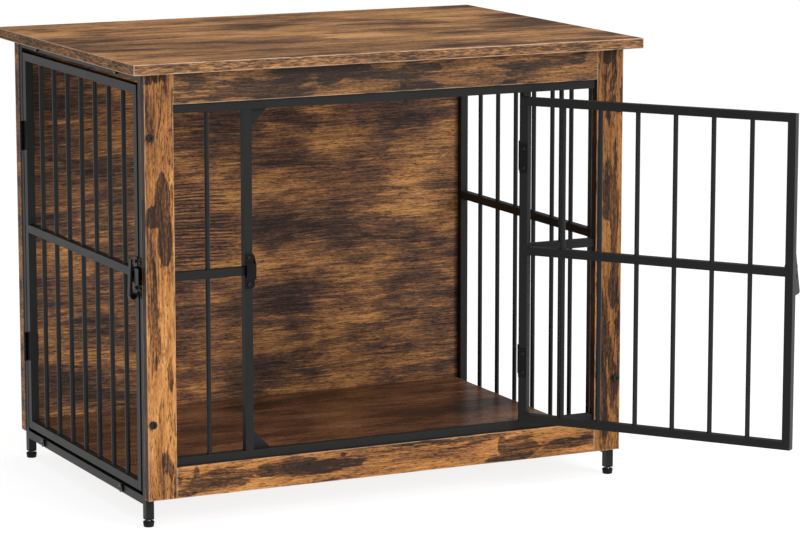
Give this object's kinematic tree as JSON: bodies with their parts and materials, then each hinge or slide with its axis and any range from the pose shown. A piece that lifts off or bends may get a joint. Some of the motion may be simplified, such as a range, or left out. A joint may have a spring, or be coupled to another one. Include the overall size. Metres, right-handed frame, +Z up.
{
  "type": "dog crate end table",
  "caption": "Furniture-style dog crate: a wood-topped side table with barred steel sides, a hinged barred front door standing open, a hinged side door and screw-in levelling feet.",
  "frame": {"origin": "on the floor, below the middle of the top board", "axes": "+Z up; -Y towards the front, with the wood surround and the front door; -X towards the side door. The front door is stored standing open and the side door shut."},
  "size_m": [0.884, 0.8903, 0.658],
  "materials": {
    "wood_top": "printed dark rustic brown wood grain, satin",
    "wood_stile": "printed dark rustic brown wood grain, satin",
    "wood_rail": "printed dark rustic brown wood grain, satin",
    "wood_back": "printed dark rustic brown wood grain, satin",
    "wood_floor": "printed reddish brown wood grain, semi-gloss",
    "black_tube": "satin black powder coat",
    "black_bar": "satin black powder coat",
    "black_gusset": "satin black powder coat",
    "black_hinge": "satin black powder coat",
    "black_latch": "satin black powder coat",
    "black_screw": "black oxide",
    "black_bolt": "black oxide",
    "zinc_screw": "bright zinc plate",
    "zinc_stud": "bright zinc plate",
    "pad_plastic": "black moulded plastic",
    "plug_plastic": "black moulded plastic"
  },
  "bodies": {
    "table": {"top_board": "wood_top", "back_panel": "wood_back", "floor_board": "wood_floor", "front_stile_left": "wood_stile", "front_stile_right": "wood_stile", "front_rail_upper": "wood_rail", "front_rail_lower": "wood_rail", "left_leg_front": "black_tube", "left_leg_rear": "black_tube", "right_leg_front": "black_tube", "right_leg_rear": "black_tube", "left_frame_rails": "black_tube", "right_frame_rails": "black_tube", "right_frame_bars": "black_bar", "cross_tubes": "black_tube", "grille_rails": "black_tube", "grille_posts": "black_tube", "grille_mid_rails": "black_tube", "grille_bars": "black_bar", "grille_gussets": "black_gusset", "front_hinge_post_leaves": "black_hinge", "front_hinge_pins": "black_hinge", "side_hinge_leg_leaves": "black_hinge", "side_hinge_pins": "black_hinge", "fixed_hinge_screws": "black_screw", "front_keeper": "black_latch", "side_keeper": "black_latch", "keeper_screws": "black_screw", "leg_plugs": "plug_plastic", "stile_bolts": "black_bolt", "side_rail_bolts": "black_bolt", "board_screws": "zinc_screw", "back_panel_screws": "zinc_screw"},
    "front_door": {"front_door_stiles": "black_tube", "front_door_rails": "black_tube", "front_door_bars": "black_bar", "front_hinge_door_leaves": "black_hinge", "front_door_hinge_screws": "black_screw", "front_latch_case": "black_latch", "front_latch_screws": "black_screw"},
    "side_door": {"side_door_stiles": "black_tube", "side_door_rails": "black_tube", "side_door_bars": "black_bar", "side_hinge_door_leaves": "black_hinge", "side_door_hinge_screws": "black_screw", "side_latch_case": "black_latch", "side_latch_screws": "black_screw"},
    "front_latch": {"front_latch_bolt": "black_latch", "front_latch_handle": "black_latch"},
    "side_latch": {"side_latch_bolt": "black_latch", "side_latch_handle": "black_latch"},
    "foot_front_left": {"foot_pad_front_left": "pad_plastic", "foot_stud_front_left": "zinc_stud"},
    "foot_front_right": {"foot_pad_front_right": "pad_plastic", "foot_stud_front_right": "zinc_stud"},
    "foot_rear_left": {"foot_pad_rear_left": "pad_plastic", "foot_stud_rear_left": "zinc_stud"},
    "foot_rear_right": {"foot_pad_rear_right": "pad_plastic", "foot_stud_rear_right": "zinc_stud"}
  },
  "joints": [
    {"name": "front_door_hinge", "type": "hinge", "parent": "table", "child": "front_door", "pos_m": [0.2135, -0.2607, 0.341], "axis": [0, 0, 1], "range_deg": [-127, 48]},
    {"name": "side_door_hinge", "type": "hinge", "parent": "table", "child": "side_door", "pos_m": [-0.3792, 0.2315, 0.3365], "axis": [0, 0, -1], "range_deg": [0, 175]},
    {"name": "front_latch_slide", "type": "slide", "parent": "front_door", "child": "front_latch", "axis": [0.6018, -0.7986, 0], "range_m": [0, 0.009]},
    {"name": "side_latch_slide", "type": "slide", "parent": "side_door", "child": "side_latch", "axis": [0, -1, 0], "range_m": [0, 0.009]},
    {"name": "front_left_foot_height", "type": "slide", "parent": "table", "child": "foot_front_left", "axis": [0, 0, -1], "range_m": [-0.0022, 0.012]},
    {"name": "front_right_foot_height", "type": "slide", "parent": "table", "child": "foot_front_right", "axis": [0, 0, -1], "range_m": [-0.0022, 0.012]},
    {"name": "rear_left_foot_height", "type": "slide", "parent": "table", "child": "foot_rear_left", "axis": [0, 0, -1], "range_m": [-0.0022, 0.012]},
    {"name": "rear_right_foot_height", "type": "slide", "parent": "table", "child": "foot_rear_right", "axis": [0, 0, -1], "range_m": [-0.0022, 0.012]}
  ]
}
